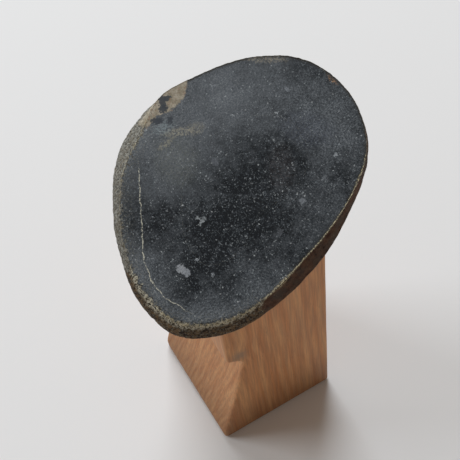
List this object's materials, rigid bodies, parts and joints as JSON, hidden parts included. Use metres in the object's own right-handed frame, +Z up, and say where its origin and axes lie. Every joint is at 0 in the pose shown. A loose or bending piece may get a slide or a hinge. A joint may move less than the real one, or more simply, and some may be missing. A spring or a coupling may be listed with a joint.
{
  "type": "basalt massage stone on a wooden stand",
  "caption": "Flat-honed basalt pebble for massage, lying in the scribed seat of a notched wooden post and lifting off its dowel.",
  "frame": {"origin": "middle of the post's flat foot, on the surface it stands on", "axes": "+Z up along the post, +X along the post's front face to the right, +Y from the front face to the back"},
  "size_m": [0.0887, 0.0731, 0.1307],
  "materials": {
    "basalt": "dark blue-grey honed basalt with fine pale crystals, and a brown and tan natural rind round the sides and underneath",
    "post_wood": "oiled reddish-brown hardwood, upright grain, low gloss",
    "dowel_wood": "plain pale hardwood dowel",
    "cork": "fine-grained natural cork"
  },
  "bodies": {
    "stand": {"stand_post": "post_wood", "locating_dowel": "dowel_wood", "cork_seat_ring": "cork"},
    "stone": {"massage_stone": "basalt"}
  },
  "joints": [
    {"name": "stone_lift", "type": "slide", "parent": "stand", "child": "stone", "axis": [-0.2412, -0.3295, 0.9128], "range_m": [0, 0.03]}
  ]
}
